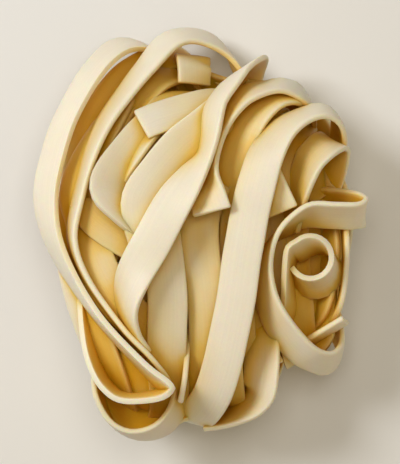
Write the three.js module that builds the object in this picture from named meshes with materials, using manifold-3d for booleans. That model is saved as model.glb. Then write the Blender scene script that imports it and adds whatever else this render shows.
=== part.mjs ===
// One nest of dried ribbon pasta: a skein of long flat ribbons wound round and round, lying on its
// back, with a curl and some loops at the right, a few cut ends and two loops at the foot.
// Millimetres, +Z up, +Y along the skein. The origin is under the middle of the nest's box.
//
// Each wound ribbon is laid over a smooth form and over all ribbons laid before it. The place on
// the form is a turn (0 at the head, 0.25 at the middle of the front, 0.5 at the foot, 0.75 at the
// middle of the back) and the distance x across the nest.
import * as THREE from 'three';
import { mergeVertices } from 'three/addons/utils/BufferGeometryUtils.js';
import Module from 'manifold-3d';

const ribbonWidth = 8;
const ribbonThickness = 1.15;
const ribbonSink = 0.5; // how far a fused ribbon reaches into what it lies on
const facetLength = 14; // longest facet along a ribbon
const facetTurn = 29; // and the most degrees that it bends before the next
const facetLeast = 1.5; // no facet is shorter than this

// The form that the ribbons are wound on: a flattened barrel with rounded ends, lower at the right
// of the head.
const formHeight = 62;
const formLeft = 34;
const formRight = 30;
const formDepth = 23;
const formSquareness = 2.3;
const footSquareness = 2.6;
const headSquareness = 1.7;
const backFlatness = 0.7; // 0 rounds the back off sideways like the front, 1 leaves it flat

// A hollow in the front of the core, where the curl sits.
const bay = { x: 20, y: -3, width: 18, height: 34, depth: 0.5 };

// How a ribbon follows what lies under it.
const layStep = 1.2;
const layReach = 8; // how far ahead and behind a ribbon feels a step
const laySlope = 0.25; // steepest rise over a step
const layTilt = 0.7; // steepest slope from edge to edge
const layCell = 1.2;
const layGap = 0.1;
const layHeed = 0.25; // how much of a lift or a raised edge the ribbons laid over it follow
const walkCuts = 60; // straight pieces of a smooth curve between two stations

// The core is narrower and shorter than the form, so that the gaps at the nest's rim stay open.
const coreWidthShare = 0.86;
const coreHeightShare = 0.92;
const coreTip = 0.99; // of its half width, where its end rings close
const coreRings = 12;
const coreSides = 28;
const joinTolerance = 0.08; // slivers finer than this are dropped after joining
const restingCut = 2.0; // how much of the lowest ribbons the flat resting spot takes

// ---- the form

const halfHeight = formHeight / 2;
const halfDepth = formDepth / 2;

function sectionPoint(angle) {
  const c = Math.cos(angle);
  const s = Math.sin(angle);
  const reach = Math.abs(c / halfHeight) ** formSquareness + Math.abs(s / halfDepth) ** formSquareness;
  return new THREE.Vector2(c, s).multiplyScalar(reach ** (-1 / formSquareness));
}

// The length round the middle section, at evenly spaced angles.
const angleCount = 720;
const lengths = [0];
for (let i = 1; i <= angleCount; i++) {
  const before = sectionPoint((2 * Math.PI * (i - 1)) / angleCount);
  const after = sectionPoint((2 * Math.PI * i) / angleCount);
  lengths.push(lengths[i - 1] + before.distanceTo(after));
}
const girth = lengths[angleCount];

// Where a value lies in a rising list, as an index with its fraction.
function placeIn(list, value) {
  let low = 0;
  let high = list.length - 1;
  while (high - low > 1) {
    const middle = (low + high) >> 1;
    if (list[middle] > value) high = middle;
    else low = middle;
  }
  return low + (value - list[low]) / (list[high] - list[low]);
}

function angleAt(turn) {
  return (2 * Math.PI * placeIn(lengths, (turn - Math.floor(turn)) * girth)) / angleCount;
}

// The share that is left of the height and depth of the section at x.
function taperAt(x, angle) {
  const headShare = x > 0 ? (1 + Math.cos(angle)) / 2 : 0;
  const squareness = THREE.MathUtils.lerp(footSquareness, headSquareness, headShare);
  const across = Math.min(Math.abs(x) / (x > 0 ? formRight : formLeft), 0.995);
  return (1 - across ** squareness) ** (1 / squareness);
}

function formPoint(turn, x) {
  const angle = angleAt(turn);
  const taper = taperAt(x, angle);
  const section = sectionPoint(angle).multiplyScalar(taper);
  return new THREE.Vector3(x, section.x, section.y / taper ** (section.y > 0 ? 0 : backFlatness));
}

// Stations of a wound ribbon: on the front or the back at x, y, or over the head or the foot at x,
// with how far it stands off what is under it and how many degrees its left edge is raised.
function onSide(x, y, above, below, lift, roll) {
  let upper = above;
  let lower = below;
  for (let i = 0; i < 20; i++) {
    const middle = (upper + lower) / 2;
    if (formPoint(middle, x).y > y) upper = middle;
    else lower = middle;
  }
  return { turn: (upper + lower) / 2, x, lift, roll };
}
const front = (x, y, lift = 0, roll = 0) => onSide(x, y, 0, 0.5, lift, roll);
const back = (x, y, lift = 0, roll = 0) => onSide(x, y, 1, 0.5, lift, roll);
const head = (x, lift = 0, roll = 0) => ({ turn: 0, x, lift, roll });
const foot = (x, lift = 0, roll = 0) => ({ turn: 0.5, x, lift, roll });

// ---- laying a ribbon on the form

const turnCells = Math.round(girth / layCell);
const widthCells = Math.round((formLeft + formRight) / layCell) + 4;
const laid = new Float32Array(turnCells * widthCells); // height of the ribbons over the form

// An even walk along a smooth curve through the points, measured on their first three numbers.
function walkThrough(points) {
  const beyond = (end, inner) => end.map((value, n) => 2 * value - inner[n]);
  const last = points.length - 1;
  const knots = [beyond(points[0], points[1]), ...points, beyond(points[last], points[last - 1])];
  const fine = [];
  for (let i = 0; i < last; i++) {
    const [a, b, c, d] = knots.slice(i, i + 4);
    for (let k = 0; k < walkCuts; k++) {
      const t = k / walkCuts;
      fine.push(b.map((at, n) => 0.5 * (2 * at + (c[n] - a[n]) * t
        + (2 * a[n] - 5 * at + 4 * c[n] - d[n]) * t ** 2 + (3 * at - a[n] - 3 * c[n] + d[n]) * t ** 3)));
    }
  }
  fine.push(points[last]);
  const gone = [0];
  for (let i = 1; i < fine.length; i++) {
    gone.push(gone[i - 1] + Math.hypot(...[0, 1, 2].map((n) => fine[i][n] - fine[i - 1][n])));
  }
  const length = gone[gone.length - 1];
  const count = Math.max(Math.round(length / layStep), 2);
  const walk = [];
  for (let i = 0; i <= count; i++) {
    const place = placeIn(gone, (length * i) / count);
    const low = Math.min(Math.floor(place), fine.length - 2);
    walk.push(fine[low].map((value, n) => THREE.MathUtils.lerp(value, fine[low + 1][n], place - low)));
  }
  return walk;
}

function stepsOf(stations) {
  let last = stations[0].turn;
  const knots = stations.map(({ turn, x, lift, roll }) => {
    last = turn + Math.round(last - turn);
    return [last * girth, x, 0, lift, roll];
  });
  const steps = walkThrough(knots).map(([length, x, , lift, roll]) => {
    const turn = length / girth;
    const small = 0.002;
    const round = formPoint(turn + small, x).sub(formPoint(turn - small, x));
    const across = formPoint(turn, x + 0.3).sub(formPoint(turn, x - 0.3));
    const speed = round.length() / (2 * small);
    round.normalize();
    const out = round.clone().cross(across).normalize();
    const point = formPoint(turn, x);
    return { turn, x, lift, roll: THREE.MathUtils.degToRad(roll), point, round, speed, out };
  });
  steps.forEach((step, i) => {
    const ahead = steps[Math.min(i + 1, steps.length - 1)].point;
    const behind = steps[Math.max(i - 1, 0)].point;
    step.along = ahead.clone().sub(behind).projectOnPlane(step.out).normalize();
    step.side = step.out.clone().cross(step.along);
  });
  return steps;
}

function cellUnder(step, across) {
  const turn = step.turn + (across * step.side.dot(step.round)) / step.speed;
  const row = Math.floor((turn - Math.floor(turn)) * turnCells) % turnCells;
  const column = Math.round((step.x + across * step.side.x + formLeft) / layCell) + 2;
  return row * widthCells + THREE.MathUtils.clamp(column, 0, widthCells - 1);
}

// Lowest heights of the two edges at which the ribbon clears all that is under this step.
function clearanceUnder(step) {
  const half = (ribbonWidth / 2) * Math.cos(step.roll);
  let left = laid[cellUnder(step, half)];
  let right = laid[cellUnder(step, -half)];
  let highest = Math.max(left, right);
  for (const across of [0.75, 0.5, 0.25, 0]) {
    for (const sign of [1, -1]) {
      const share = (1 + sign * across) / 2;
      const under = laid[cellUnder(step, sign * across * half)];
      const short = under - (left * share + right * (1 - share));
      highest = Math.max(highest, under);
      if (short > 0 && sign > 0) left += short / share;
      else if (short > 0) right += short / (1 - share);
    }
  }
  return { left: Math.min(left, highest), right: Math.min(right, highest) };
}

function settle(needs, i) {
  let left = 0;
  let right = 0;
  for (let j = Math.max(0, i - layReach); j <= Math.min(needs.length - 1, i + layReach); j++) {
    const drop = laySlope * layStep * Math.abs(i - j);
    left = Math.max(left, needs[j].left - drop);
    right = Math.max(right, needs[j].right - drop);
  }
  const lean = layTilt * ribbonWidth;
  return { left: Math.max(left, right - lean), right: Math.max(right, left - lean) };
}

function markLaid(step, rest) {
  const half = ribbonWidth / 2;
  for (let across = -half; across <= half; across += 0.5) {
    const share = (1 + across / half) / 2;
    const risen = step.left * share + step.right * (1 - share);
    const top = THREE.MathUtils.lerp(rest.left * share + rest.right * (1 - share), risen, layHeed);
    const cell = cellUnder(step, across * Math.cos(step.roll));
    laid[cell] = Math.max(laid[cell], top + ribbonThickness + layGap);
  }
}

// The weighted mean of a height over the steps about step i.
function smoothed(steps, i, name) {
  let sum = 0;
  let total = 0;
  for (let k = -5; k <= 5; k++) {
    if (!steps[i + k]) continue;
    const weight = 6 - Math.abs(k);
    sum += weight * steps[i + k][name];
    total += weight;
  }
  return sum / total;
}

function windRibbon(stations) {
  const steps = stepsOf(stations);
  const needs = [];
  for (let i = 0; i < steps.length + layReach; i++) {
    if (i < steps.length) needs.push(clearanceUnder(steps[i]));
    const done = steps[i - layReach];
    if (!done) continue;
    const rest = settle(needs, i - layReach);
    const rise = ribbonWidth * Math.sin(done.roll);
    done.left = rest.left + done.lift + Math.max(rise, 0);
    done.right = rest.right + done.lift + Math.max(-rise, 0);
    markLaid(done, rest);
  }
  return steps.map((step, i) => {
    const reach = (ribbonWidth / 2) * Math.cos(step.roll);
    const edge = (name, across) => step.point.clone().addScaledVector(step.side, across)
      .addScaledVector(step.out, smoothed(steps, i, name));
    const left = edge('left', reach);
    const right = edge('right', -reach);
    return { left, right, out: step.along.clone().cross(left.clone().sub(right)).normalize() };
  });
}

// A ribbon free of the form: stations with the x, y, z of its near edge, and how far its far edge
// lies aside in x and y, as a share of the width.
function looseRibbon(stations) {
  const walk = walkThrough(stations);
  return walk.map(([x, y, z, leanX, leanY], i) => {
    const ahead = new THREE.Vector3(...walk[Math.min(i + 1, walk.length - 1)]);
    const along = ahead.sub(new THREE.Vector3(...walk[Math.max(i - 1, 0)])).normalize();
    const fall = Math.sqrt(Math.max(1 - leanX ** 2 - leanY ** 2, 0.01));
    const down = new THREE.Vector3(leanX, leanY, -fall);
    down.addScaledVector(along, -0.7 * down.dot(along)).normalize();
    const left = new THREE.Vector3(x, y, z);
    const right = left.clone().addScaledVector(down, ribbonWidth);
    return { left, right, out: down.clone().cross(along).normalize() };
  });
}

// ---- solids

function closedGeometry(points, faces) {
  const geometry = new THREE.BufferGeometry();
  const numbers = points.flatMap((point) => point.toArray());
  geometry.setAttribute('position', new THREE.Float32BufferAttribute(numbers, 3));
  geometry.setIndex(faces);
  return geometry;
}

// The steps where one facet ends and the next begins.
function facetEnds(rails) {
  const middle = (rail) => rail.left.clone().add(rail.right).multiplyScalar(0.5);
  const across = (rail) => rail.left.clone().sub(rail.right);
  const kept = [rails[0]];
  for (const rail of rails.slice(1, -1)) {
    const last = kept[kept.length - 1];
    const length = middle(rail).distanceTo(middle(last));
    const bent = rail.out.angleTo(last.out) + across(rail).angleTo(across(last));
    const turned = THREE.MathUtils.radToDeg(bent);
    if (length > facetLength || (length > facetLeast && turned > facetTurn)) kept.push(rail);
  }
  kept.push(rails[rails.length - 1]);
  return kept;
}

function ribbonGeometry(rails, sink) {
  const kept = facetEnds(rails);
  const points = [];
  for (const { left, right, out } of kept) {
    points.push(
      left.clone().addScaledVector(out, -sink),
      right.clone().addScaledVector(out, -sink),
      right.clone().addScaledVector(out, ribbonThickness),
      left.clone().addScaledVector(out, ribbonThickness),
    );
  }
  const faces = [0, 2, 1, 0, 3, 2];
  for (let i = 0; i + 1 < kept.length; i++) {
    for (let k = 0; k < 4; k++) {
      const a = 4 * i + k;
      const b = 4 * i + ((k + 1) % 4);
      faces.push(a, b, b + 4, a, b + 4, a + 4);
    }
  }
  const end = 4 * (kept.length - 1);
  faces.push(end, end + 1, end + 2, end, end + 2, end + 3);
  return closedGeometry(points, faces);
}

function corePoint(turn, x) {
  const point = formPoint(turn, x);
  if (point.z > 0) {
    const off = Math.hypot((x - bay.x) / (bay.width / 2), (point.y - bay.y) / (bay.height / 2));
    point.z *= 1 - bay.depth * (1 - THREE.MathUtils.smoothstep(off, 0.55, 1.25));
  }
  point.x *= coreWidthShare;
  point.y *= coreHeightShare;
  return point;
}

function coreGeometry() {
  const points = [new THREE.Vector3(-coreTip * coreWidthShare * formLeft, 0, 0)];
  for (let i = 1; i < coreRings; i++) {
    const across = -coreTip * Math.cos((Math.PI * i) / coreRings);
    const x = across * (across > 0 ? formRight : formLeft);
    for (let k = 0; k < coreSides; k++) points.push(corePoint(k / coreSides, x));
  }
  points.push(new THREE.Vector3(coreTip * coreWidthShare * formRight, 0, 0));
  const last = points.length - 1;
  const faces = [];
  for (let k = 0; k < coreSides; k++) {
    const next = (k + 1) % coreSides;
    faces.push(0, 1 + k, 1 + next, last, last - coreSides + next, last - coreSides + k);
    for (let i = 0; i < coreRings - 2; i++) {
      const a = 1 + i * coreSides;
      faces.push(a + k, a + coreSides + k, a + coreSides + next, a + k, a + coreSides + next, a + next);
    }
  }
  return closedGeometry(points, faces);
}

const wasm = await Module();
wasm.setup();

function solidOf(geometry) {
  const clean = geometry.clone();
  clean.deleteAttribute('normal');
  clean.deleteAttribute('uv');
  const merged = mergeVertices(clean, 1e-4);
  const vertProperties = Float32Array.from(merged.attributes.position.array);
  const triVerts = Uint32Array.from(merged.index.array);
  const solid = new wasm.Manifold(new wasm.Mesh({ numProp: 3, vertProperties, triVerts }));
  if (solid.volume() > 0) return solid;
  const turned = triVerts.map((_, i) => triVerts[i - (i % 3) + 2 - (i % 3)]);
  return new wasm.Manifold(new wasm.Mesh({ numProp: 3, vertProperties, triVerts: turned }));
}

// ---- the ribbons

// The wound ones, from the lowest to the uppermost.
const woundRibbons = {
  backFarLeft: [head(-26), back(-28, 6), back(-26, -10), foot(-22)],
  backFarRight: [head(24), back(25, 6), back(23, -8), back(19, -18)],
  backRight: [head(14), back(17, 10), back(15, -8), back(10, -24), foot(6)],
  backLeft: [back(-22, 14), back(-20, -6), back(-12, -24), foot(-14), front(-20, -20)],
  backMiddle: [back(6, 24), back(0, 4), back(2, -18), foot(2), front(1, -22), front(3, -8)],
  headLeft: [back(-18, 10), head(-12), front(-20, 22), front(-24, 12)],
  footLeft: [front(-24, 0), front(-25.5, -10), front(-23, -19), front(-19, -26), foot(-14),
    back(-12, -12)],
  footInner: [front(-12, -6), front(-15, -14), front(-16, -22), foot(-15, 0.5), back(-14, -16)],
  leftWall: [back(-16, 10), head(-18), front(-27, 16), front(-30, 4), front(-27, -10), foot(-18),
    back(-14, -10)],
  leftLow: [back(-12, 14), head(-18), front(-27.5, 14), front(-27, 6), front(-24.5, -1.5, 1.5),
    front(-21.5, -7.5, 2.5), front(-17.5, -12.5, 2), front(-12, -18)],
  leftFoldUnder: [front(-25.6, 10), front(-24.5, 7, 0.3), front(-22, 4.6, 0.5), front(-18.5, 2.2),
    front(-13, -1)],
  leftFold: [head(-6), front(-11.5, 26), front(-16.2, 20.8), front(-20.2, 14.8, 0.5, -15),
    front(-21, 10.8, 0.5, -32), front(-18, 7.2, 0, -40), front(-14.5, 5, -2, -25)],
  bandMiddle: [front(-1, 14), front(-3.4, 8), front(-3.9, 3, 0.4), front(-3.5, -2, 0.4),
    front(-2.6, -8, 0.2), front(-2, -17), front(-2.6, -25), foot(-4.2), back(-6, -20), back(-11, 0)],
  middleLeft: [front(-12.6, 8), front(-11.8, 3, 0.5), front(-10.8, -4, 1), front(-10.3, -10, 1.2),
    front(-10.4, -16.5, 1), front(-10.5, -22, 0.6), front(-10, -27), foot(-10.6), back(-17, -18),
    back(-24, 2)],
  cutEnd: [front(-15, 23.2, 0.5, -20), front(-8.5, 26.2, 0, -10), front(-2.2, 28.8), head(6),
    back(12, 20)],
  sweepLow: [back(2, 14), head(10), front(3, 28, 0.5), front(-3, 23.5, 1.5), front(-7.5, 20, 1.5),
    front(-11.5, 15.5, 1.5), front(-15, 10.3, 1.5), front(-15, 6, 1), front(-13.6, 1)],
  sweepMain: [back(0, 8), back(3, 24, 0, 20), head(5.5, 1.5, 58), front(2.5, 29, 1.5, 52),
    front(-0.3, 25.5, 0.5, 55), front(-1.2, 21, 0, 62), front(-2.3, 17.5, 0, 64),
    front(-5.2, 13.5, 1, 42), front(-9, 8.2, 1.5, 15), front(-12.5, 2, 1.5, 5),
    front(-15.8, -4.5, 1.5, 18), front(-17.1, -10.5, 0, 48), front(-16.6, -15.5, -2, 52),
    front(-14.6, -19.5, -5, 50)],
};

// The ribbons that stand free of the rest.
const looseRibbons = {
  mainFront: [[17, 4, -2, -0.5, 0.3], [22.5, 12, 0, -0.4, 0.25], [25.4, 19.5, 7, -0.3, 0.25],
    [24.9, 24.3, 12, -0.15, 0.3], [22.2, 26.3, 14.5, -0.08, 0.3], [18.8, 25.5, 16, -0.2, 0.36],
    [15.6, 22.7, 17, -0.45, 0.45], [13.3, 18, 17.4, -0.78, 0.42], [11.7, 12.5, 17.2, -0.93, 0.26],
    [10.4, 7.2, 17, -0.97, 0.14], [9.3, 1, 16.9, -0.98, 0.1], [8.6, -3, 16.8, -0.98, 0.1],
    [7.6, -10.5, 16.4, -0.98, 0.12], [6.2, -17.5, 15.8, -0.98, 0.12], [4.6, -24.8, 14.2, -0.97, 0.18],
    [2.6, -31, 11, -0.94, 0.26], [-0.3, -35.6, 5, -0.9, 0.34], [-2.6, -36, -2.5, -0.9, 0.3],
    [-2.6, -31.5, -8.5, -0.95, 0], [0, -22, -12, -0.95, 0], [2, -8, -12.5, -0.95, 0]],
  archOuter: [[16.5, 13, -1, -0.5, 0.3], [18.8, 20, -1, -0.35, 0.35], [19.5, 26.8, 4, -0.2, 0.45],
    [17.6, 29.4, 8.5, -0.1, 0.45], [15, 31.1, 10.5, 0, 0.34], [12.2, 31.7, 12, 0, 0.28],
    [8.4, 30.5, 13.6, -0.1, 0.42], [5.6, 28.6, 14.6, -0.28, 0.4], [2.7, 24.9, 15.6, -0.38, 0.24],
    [0.8, 20.2, 16.6, -0.3, 0.05], [0.2, 16.2, 17.6, -0.35, -0.05], [1.4, 12.6, 18.1, -0.85, -0.1],
    [2.6, 8.6, 18, -0.98, -0.16]],
  tab: [[10, 21, 13.5, -0.85, -0.4], [12.3, 17.2, 14.6, -0.88, -0.38], [14.3, 13, 14.9, -0.9, -0.36],
    [16.2, 9, 14.6, -0.9, -0.36]],
  bandUpper: [[15, 14, -2, -0.5, 0.3], [17.7, 21, -1.5, -0.35, 0.4], [18.8, 27, 3, -0.2, 0.48],
    [16.6, 29.2, 8.5, -0.15, 0.5], [14.3, 29.2, 10.6, -0.25, 0.5], [12.2, 27.9, 11.8, -0.42, 0.52],
    [9.7, 24.8, 12.6, -0.62, 0.5], [8, 21, 13, -0.76, 0.42], [6.6, 16.5, 12.8, -0.85, 0.3],
    [5, 11, 11.5, -0.9, 0.25], [3, 5, 9.5, -0.9, 0.25]],
  leftOuter: [[-2, 31, -5, -0.2, -0.8], [-8, 37.2, -4, -0.4, -0.3], [-16, 41.5, -2.5, -0.3, 0.3],
    [-22, 38, 4, -0.6, 0.1], [-27.8, 28.4, 9.5, -0.62, 0], [-30.8, 20, 11.5, -0.62, 0],
    [-32.6, 10.1, 12.5, -0.58, 0], [-30.9, 0.1, 14.5, -0.32, -0.12], [-24.1, -12.2, 18, -0.12, -0.14],
    [-14.9, -22.1, 20, -0.12, -0.18], [-9.6, -26.3, 20.4, -0.24, -0.24], [-8.8, -28.4, 20.2, -0.3, 0],
    [-12, -30.6, 19.5, 0, 0.14], [-19.7, -31.1, 18, 0.1, 0.08], [-24.1, -28.3, 17, 0.15, 0.06],
    [-26.8, -23.6, 15.5, 0.2, 0.06], [-28.3, -17.7, 13.5, 0.25, 0.05], [-29, -9, 10, 0.25, 0],
    [-28, 0, 6, 0.2, 0]],
  leftInner: [[8, 27, -5, 0.2, -0.8], [6, 34.5, -3, 0, -0.4], [1, 40.5, -2, -0.3, 0.5],
    [-6.6, 42.5, 1.5, -0.45, 0.35], [-13, 36.3, 6.5, -0.4, 0.26], [-17.8, 30.4, 9.5, -0.37, 0.2],
    [-21.6, 24.9, 12, -0.35, 0.16], [-24.6, 18.4, 13.8, -0.34, 0.1], [-27, 10.1, 15, -0.32, 0],
    [-28.4, 2, 16, -0.2, 0], [-25.6, -6, 17, -0.12, -0.1], [-18.9, -15.4, 18.3, -0.05, -0.05],
    [-13.6, -21, 18.4, 0, 0], [-10.6, -24.8, 16.5, 0, 0], [-9.4, -27, 12.5, 0, 0]],
  leftBack: [[2, 33, -4, -0.6, 0.3], [-6, 38, -4, -0.7, 0.5], [-14.5, 34.5, -1, -0.8, 0.5],
    [-19.5, 29, 2, -0.85, 0.4], [-23, 23, 4, -0.9, 0.3], [-25.8, 15, 5, -0.8, 0.1],
    [-27, 6, 6, -0.6, 0], [-26, -3, 6, -0.5, 0]],
  footRight: [[10.5, -6, 3, -0.8, 0.2], [12.2, -14, 6.5, -0.84, 0.14], [12.8, -20, 9.2, -0.86, 0.1],
    [12.6, -26, 10.4, -0.86, 0.12], [11.8, -30.8, 10, -0.76, 0.36], [9.2, -34.2, 8.4, -0.5, 0.5],
    [5.6, -36.2, 6.3, -0.3, 0.5], [1.4, -37.5, 4.8, -0.12, 0.34], [-3, -38.2, 3.5, 0, 0.2]],
  leftShade: [[-6, 35, -1, -0.8, 0.4], [-10.5, 33, 3, -0.82, 0.4], [-14, 29, 5.5, -0.86, 0.36],
    [-17.5, 23.5, 6.5, -0.88, 0.3], [-20, 17, 6.5, -0.9, 0.2], [-21, 9, 5, -0.9, 0.1]],
  sliver: [[-6.6, 27.4, 5, -0.3, 0.3], [-9.4, 25.4, 9.4, -0.3, 0.3], [-12.4, 22.2, 13.4, -0.3, 0.25],
    [-15.6, 17.8, 14.4, -0.3, 0.2], [-18.3, 13.2, 13.4, -0.3, 0.1], [-19, 9, 10, -0.3, 0]],
  footLow: [[-20, -8, 3, 0.4, -0.2], [-24, -16, 8, 0.25, -0.2], [-24.9, -24, 11, 0.22, -0.2],
    [-24.6, -29.5, 12.5, 0.2, -0.18], [-22, -34.4, 12.5, 0.2, -0.2], [-18.4, -36.5, 12, 0.22, -0.22],
    [-14.5, -36, 11.5, 0.3, -0.25], [-11.8, -34, 11, 0.35, -0.25], [-10, -30.5, 10, 0.35, -0.2],
    [-9, -24, 8, 0.3, -0.2]],
  footBack: [[-26, -18, 4, 0.8, 0.2], [-25.4, -27, 6, 0.75, 0.35], [-23.4, -33, 6.5, 0.6, 0.6],
    [-19.5, -37, 6.5, 0.2, 0.85], [-13, -37.6, 5.5, -0.1, 0.85], [-4, -34, 3, -0.1, 0.85],
    [4, -30, 0, -0.1, 0.85]],
  footEdge: [[-5.6, -16, 10, 0.12, 0], [-5.9, -22, 13, 0.12, 0], [-6.4, -27, 14, 0.1, 0],
    [-7.2, -31.4, 14, 0.05, 0]],
  headPiece: [[-8.6, 34.4, 5, 0.8, 0], [-8.7, 38, 4, 0.8, 0], [-9.2, 40, 0, 0.7, -0.2],
    [-9, 37, -4, 0.75, -0.3], [-8, 30, -7, 0.8, -0.3]],
  headBack: [[24, 16, -4, -0.6, -0.3], [24.5, 24, -4, -0.4, -0.6], [20, 30, -3, -0.3, -0.7],
    [11, 34.5, -3, -0.1, -0.65], [2, 35.5, -3, 0, -0.7], [-8, 38.5, -3, 0, -0.75],
    [-16, 36.5, -4, 0, -0.75], [-22, 30, -5, 0.4, -0.6], [-24, 22, -6, 0.7, -0.3]],
  rightArch: [[15.8, 3, 11, -0.5, 0.3], [17.2, 9.2, 14.3, -0.52, 0.35], [18.8, 13.6, 16, -0.52, 0.42],
    [20.7, 17, 16.4, -0.46, 0.58], [23.6, 19.6, 15.3, -0.26, 0.64], [26.2, 21, 12.5, -0.3, 0.4],
    [27.4, 20.2, 9, -0.6, 0.1], [27, 16.5, 6, -0.8, -0.1], [25.3, 11.5, 3, -0.85, -0.2],
    [21, 5, -1, -0.8, -0.3]],
  wallOuter: [[20.5, 15.5, -2, -0.4, 0], [25.5, 12, 3, -0.1, 0], [27, 4, 8, 0, 0], [26.9, -5, 9, 0, 0],
    [25.4, -13, 7, 0, 0], [21, -18.5, 0, -0.1, 0], [14.5, -18.5, -1.5, -0.4, 0.3]],
  wallInner: [[19.5, 14, -2, -0.5, 0], [23.8, 9, 2, -0.45, 0], [25.3, 2, 6.5, -0.5, 0],
    [24.8, -7, 7, -0.5, 0], [22.3, -15, 4, -0.5, 0.1], [16, -21, -2, -0.4, 0.2]],
  wallDeep: [[16, 12, -2, -0.5, 0], [21.5, 7, 1, -0.7, 0], [23, 0, 2.5, -0.75, 0],
    [22, -9, 2.5, -0.75, 0], [18, -17, 0, -0.6, 0.2]],
  bayLoop: [[18, 13.4, 3, -0.1, -0.5], [23, 13, 6, -0.1, -0.55], [28.5, 12.2, 8.5, -0.1, -0.6],
    [30.9, 10.6, 11.5, -0.1, -0.6], [29, 9, 14, -0.1, -0.62], [24, 8.9, 15.5, -0.1, -0.62],
    [19.2, 9, 16, -0.15, -0.62], [15.9, 7.1, 16.5, -0.2, -0.62], [13.2, 4.2, 16.5, -0.25, -0.6],
    [11.7, 0.4, 16, -0.28, -0.52], [11.3, -4.1, 15.5, -0.32, -0.45], [12.3, -9, 15, -0.36, -0.45],
    [14.4, -13, 14.5, -0.4, -0.5], [18, -17.6, 12.5, -0.38, -0.52], [21, -20.2, 10.5, -0.25, -0.5],
    [23.8, -20.6, 7.5, 0, -0.35], [25.3, -17.8, 2, 0, -0.1], [24.5, -12, -2, -0.5, 0],
    [20, -6, -3, -0.6, 0.2]],
  bayFloor: [[25, 0, 3, -0.8, -0.2], [26, -7, 4, -0.8, -0.1], [26, -13.5, 4, -0.8, 0.1],
    [24.6, -19.8, 4, -0.7, 0.5], [19.4, -23.4, 3, -0.3, 0.8], [12, -22, 0, 0, 0.8]],
  stub: [[13, -21, 6, 0.1, -0.2], [18.2, -17.8, 9, 0.1, -0.2], [25.2, -13.5, 10.5, 0.1, -0.2]],
  bayEnd: [[9, -12, 5, 0.3, 0.3], [11, -18, 6, 0.2, 0.1], [13.6, -23.2, 6.5, 0, 0]],
};

// The curl in the hollow at the right: a lead that runs up into one loop.
const curl = {
  x: 18.7, y: -1.5, z: 14.5, radius: 4.9,
  leanX: 0.2, leanY: -0.5, from: 130, to: -150, turn: 20, drop: 1.5,
};
const curlLead = [[11.6, -16, 9], [12.6, -10.6, 12], [12.8, -4.1, 14], [13.4, 0.5, 14.5]];
looseRibbons.curl = curlLead.map((place) => [...place, curl.leanX, curl.leanY]);
for (let degrees = curl.from; degrees >= curl.to; degrees -= curl.turn) {
  const angle = THREE.MathUtils.degToRad(degrees);
  const sunk = (curl.drop * (curl.from - degrees)) / (curl.from - curl.to);
  looseRibbons.curl.push([curl.x + curl.radius * Math.cos(angle), curl.y + curl.radius * Math.sin(angle),
    curl.z - sunk, curl.leanX, curl.leanY]);
}

// ---- the nest

let nest = solidOf(coreGeometry());
for (const stations of Object.values(woundRibbons)) {
  nest = nest.add(solidOf(ribbonGeometry(windRibbon(stations), ribbonSink)));
}
for (const stations of Object.values(looseRibbons)) {
  nest = nest.add(solidOf(ribbonGeometry(looseRibbon(stations), 0)));
}

const low = nest.boundingBox().min[2];
const slab = { side: 200, height: 20 }; // takes off what lies below the resting spot
const below = new THREE.BoxGeometry(slab.side, slab.side, slab.height);
below.translate(0, 0, low + restingCut - slab.height / 2);
nest = nest.subtract(solidOf(below));
nest = nest.simplify(joinTolerance);
nest = nest.decompose().sort((a, b) => b.volume() - a.volume())[0];

const joined = nest.getMesh();
const nestGeometry = new THREE.BufferGeometry();
const places = Float32Array.from(joined.vertProperties);
nestGeometry.setAttribute('position', new THREE.BufferAttribute(places, 3));
nestGeometry.setIndex(new THREE.BufferAttribute(Uint32Array.from(joined.triVerts), 1));
nestGeometry.computeBoundingBox();
const box = nestGeometry.boundingBox;
nestGeometry.translate(-(box.min.x + box.max.x) / 2, -(box.min.y + box.max.y) / 2, -box.min.z);
nestGeometry.computeVertexNormals();

const pasta = new THREE.MeshStandardMaterial({ color: 0xe6d3a4, roughness: 0.55, metalness: 0 });
const pastaNest = new THREE.Mesh(nestGeometry, pasta);
pastaNest.name = 'pasta_nest';

const group = new THREE.Group();
group.add(pastaNest);

export default group;
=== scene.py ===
import math

import bpy
import numpy as np
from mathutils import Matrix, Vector
from mathutils.bvhtree import BVHTree


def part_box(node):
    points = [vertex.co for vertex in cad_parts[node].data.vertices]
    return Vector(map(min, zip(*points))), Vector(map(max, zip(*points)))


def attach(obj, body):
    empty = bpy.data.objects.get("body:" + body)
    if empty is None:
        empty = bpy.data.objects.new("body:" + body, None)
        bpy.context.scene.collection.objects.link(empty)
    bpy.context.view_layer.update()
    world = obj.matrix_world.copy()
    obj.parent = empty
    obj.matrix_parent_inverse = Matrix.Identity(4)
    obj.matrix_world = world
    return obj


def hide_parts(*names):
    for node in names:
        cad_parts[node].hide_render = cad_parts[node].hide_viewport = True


# A nest of dried ribbon pasta: ribbons wound on two flattened forms, one inside the other, with
# loops, cut ends and a curl that stand free of them. Lengths are in millimetres until the meshes
# are made.
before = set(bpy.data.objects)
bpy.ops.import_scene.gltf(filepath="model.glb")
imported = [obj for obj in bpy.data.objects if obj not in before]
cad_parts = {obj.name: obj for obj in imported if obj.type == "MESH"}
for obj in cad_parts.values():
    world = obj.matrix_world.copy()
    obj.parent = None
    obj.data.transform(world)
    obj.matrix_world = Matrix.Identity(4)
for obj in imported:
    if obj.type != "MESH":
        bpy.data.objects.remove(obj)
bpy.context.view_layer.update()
nestLow, nestHigh = [Vector(corner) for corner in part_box("pasta_nest")]
mm = 0.001

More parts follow.
